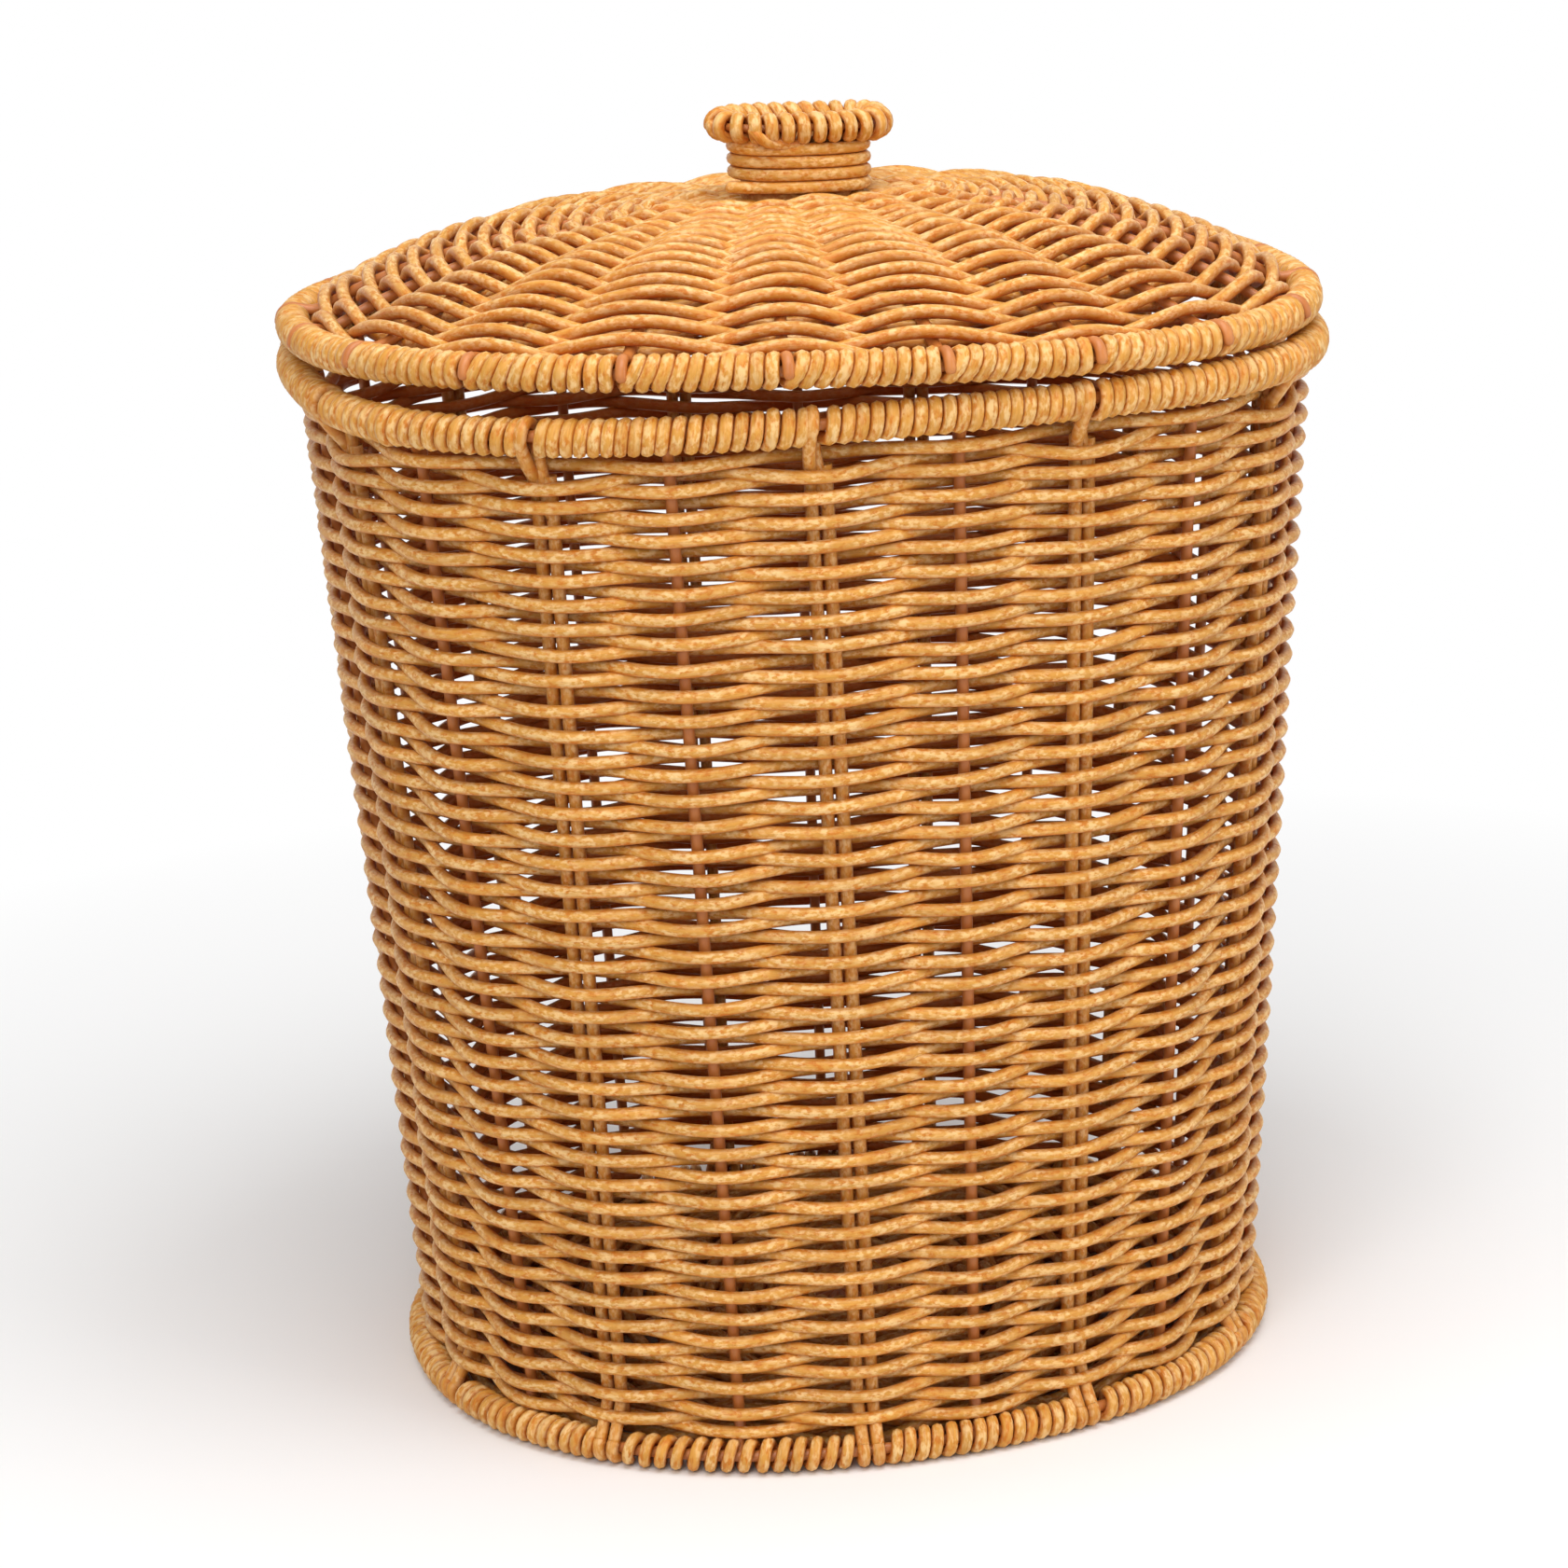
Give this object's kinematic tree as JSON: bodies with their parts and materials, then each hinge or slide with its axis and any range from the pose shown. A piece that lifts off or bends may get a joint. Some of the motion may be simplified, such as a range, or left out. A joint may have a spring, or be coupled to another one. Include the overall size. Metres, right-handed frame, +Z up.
{
  "type": "lidded laundry basket",
  "caption": "Oval woven laundry basket with wrapped foot and rim, and a loose domed lid with a wrapped ring as its knob.",
  "frame": {"origin": "on the floor, under the middle of the basket", "axes": "+Z up; +X along the long side of the oval; +Y towards the back, so the pictured side faces -Y"},
  "size_m": [0.393, 0.33, 0.4911],
  "materials": {
    "honey_strand": "satin moulded rattan strand, honey gold with paler flecks and orange streaks",
    "shaded_strand": "the same strand where it is partly covered",
    "brown_wire": "satin red-brown coating"
  },
  "bodies": {
    "basket": {"foot_hoop": "brown_wire", "foot_wrapping": "honey_strand", "floor_spider": "brown_wire", "floor_weave": "shaded_strand", "wall_weave": "honey_strand", "wire_stake_01": "brown_wire", "wire_stake_02": "brown_wire", "wire_stake_03": "brown_wire", "wire_stake_04": "brown_wire", "wire_stake_05": "brown_wire", "wire_stake_06": "brown_wire", "wire_stake_07": "brown_wire", "wire_stake_08": "brown_wire", "wire_stake_09": "brown_wire", "wire_stake_10": "brown_wire", "wire_stake_11": "brown_wire", "folded_stake_01": "shaded_strand", "folded_stake_02": "shaded_strand", "folded_stake_03": "shaded_strand", "folded_stake_04": "shaded_strand", "folded_stake_05": "shaded_strand", "folded_stake_06": "shaded_strand", "folded_stake_07": "shaded_strand", "folded_stake_08": "shaded_strand", "folded_stake_09": "shaded_strand", "folded_stake_10": "shaded_strand", "folded_stake_11": "shaded_strand", "rim_hoop": "brown_wire", "rim_wrapping": "honey_strand"},
    "lid": {"lid_hoop": "brown_wire", "lid_wrapping": "honey_strand", "lid_rib_01": "brown_wire", "lid_rib_02": "brown_wire", "lid_rib_03": "brown_wire", "lid_rib_04": "brown_wire", "lid_rib_05": "brown_wire", "lid_rib_06": "brown_wire", "lid_rib_07": "brown_wire", "lid_rib_08": "brown_wire", "lid_rib_09": "brown_wire", "lid_rib_10": "brown_wire", "lid_rib_11": "brown_wire", "lid_rib_12": "brown_wire", "lid_rib_13": "brown_wire", "lid_rib_14": "brown_wire", "lid_rib_15": "brown_wire", "lid_rib_16": "brown_wire", "lid_rib_17": "brown_wire", "lid_rib_18": "brown_wire", "lid_rib_19": "brown_wire", "lid_rib_20": "brown_wire", "lid_weave": "honey_strand", "knob_neck_core": "shaded_strand", "knob_neck_winding": "honey_strand", "knob_ring_hoop": "brown_wire", "knob_ring_winding": "honey_strand"}
  },
  "joints": [
    {"name": "lid_lift", "type": "slide", "parent": "basket", "child": "lid", "axis": [0, 0, 1], "range_m": [0, 0.3]}
  ]
}
